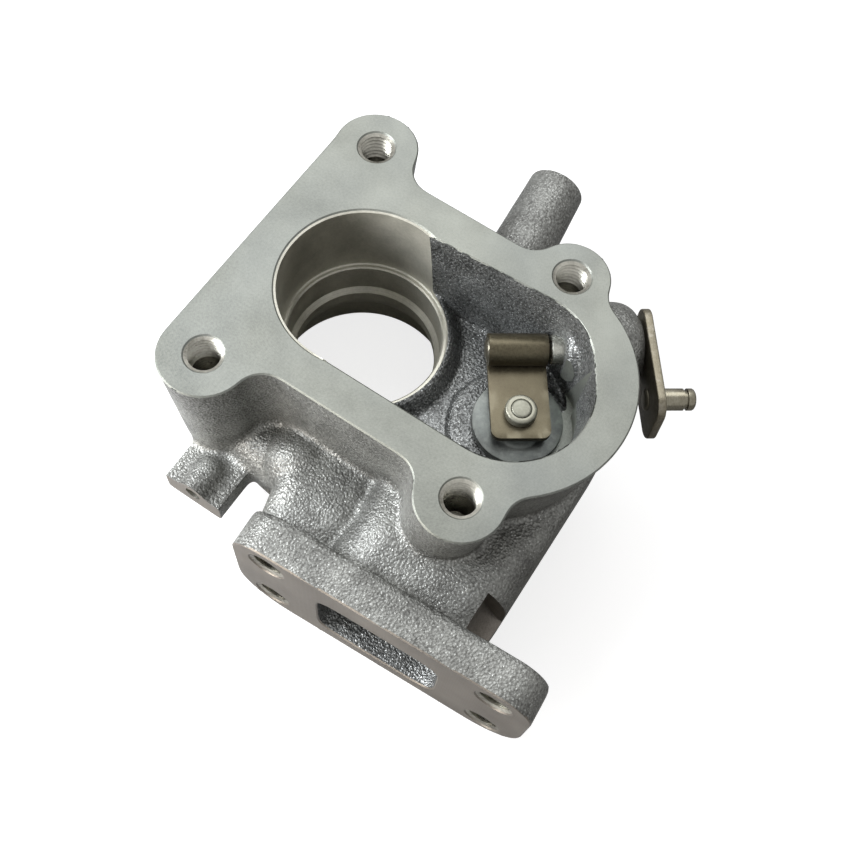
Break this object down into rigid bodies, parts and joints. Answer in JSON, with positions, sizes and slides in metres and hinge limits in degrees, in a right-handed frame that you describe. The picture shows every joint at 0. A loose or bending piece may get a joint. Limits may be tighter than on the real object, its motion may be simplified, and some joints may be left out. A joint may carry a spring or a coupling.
{
  "type": "turbocharger turbine housing",
  "caption": "Cast turbine housing with a scroll, flanged inlet and outlet, and an internal wastegate flap worked by an outer lever.",
  "frame": {"origin": "on the turbine axis at the bearing-side face", "axes": "+Z along the turbine axis towards the outlet flange, +X from the bore to the wastegate valve, and the inlet flange on the -Y side"},
  "size_m": [0.1511, 0.1441, 0.066],
  "materials": {
    "cast": "rough",
    "bush": "polished",
    "shaft": "satin",
    "strap": "satin",
    "valve": "machined",
    "lever": "satin",
    "pin": "satin",
    "weld": "rough"
  },
  "bodies": {
    "housing": {"turbine_housing": "cast", "wastegate_bush": "bush"},
    "wastegate_arm": {"wastegate_shaft": "shaft", "swing_arm": "strap", "outer_lever": "lever", "lever_pin": "pin", "lever_weld": "weld", "arm_weld": "weld"},
    "flap": {"wastegate_valve": "valve", "valve_washer": "valve"}
  },
  "joints": [
    {"name": "wastegate_swing", "type": "hinge", "parent": "housing", "child": "wastegate_arm", "pos_m": [0.0405, 0.01619, 0.049], "axis": [-0.8192, -0.5736, 0], "range_deg": [0, 40]},
    {"name": "valve_spin", "type": "hinge", "parent": "wastegate_arm", "child": "flap", "pos_m": [0.051, 0.0012, 0.049], "axis": [0, 0, 1], "continuous": true}
  ]
}
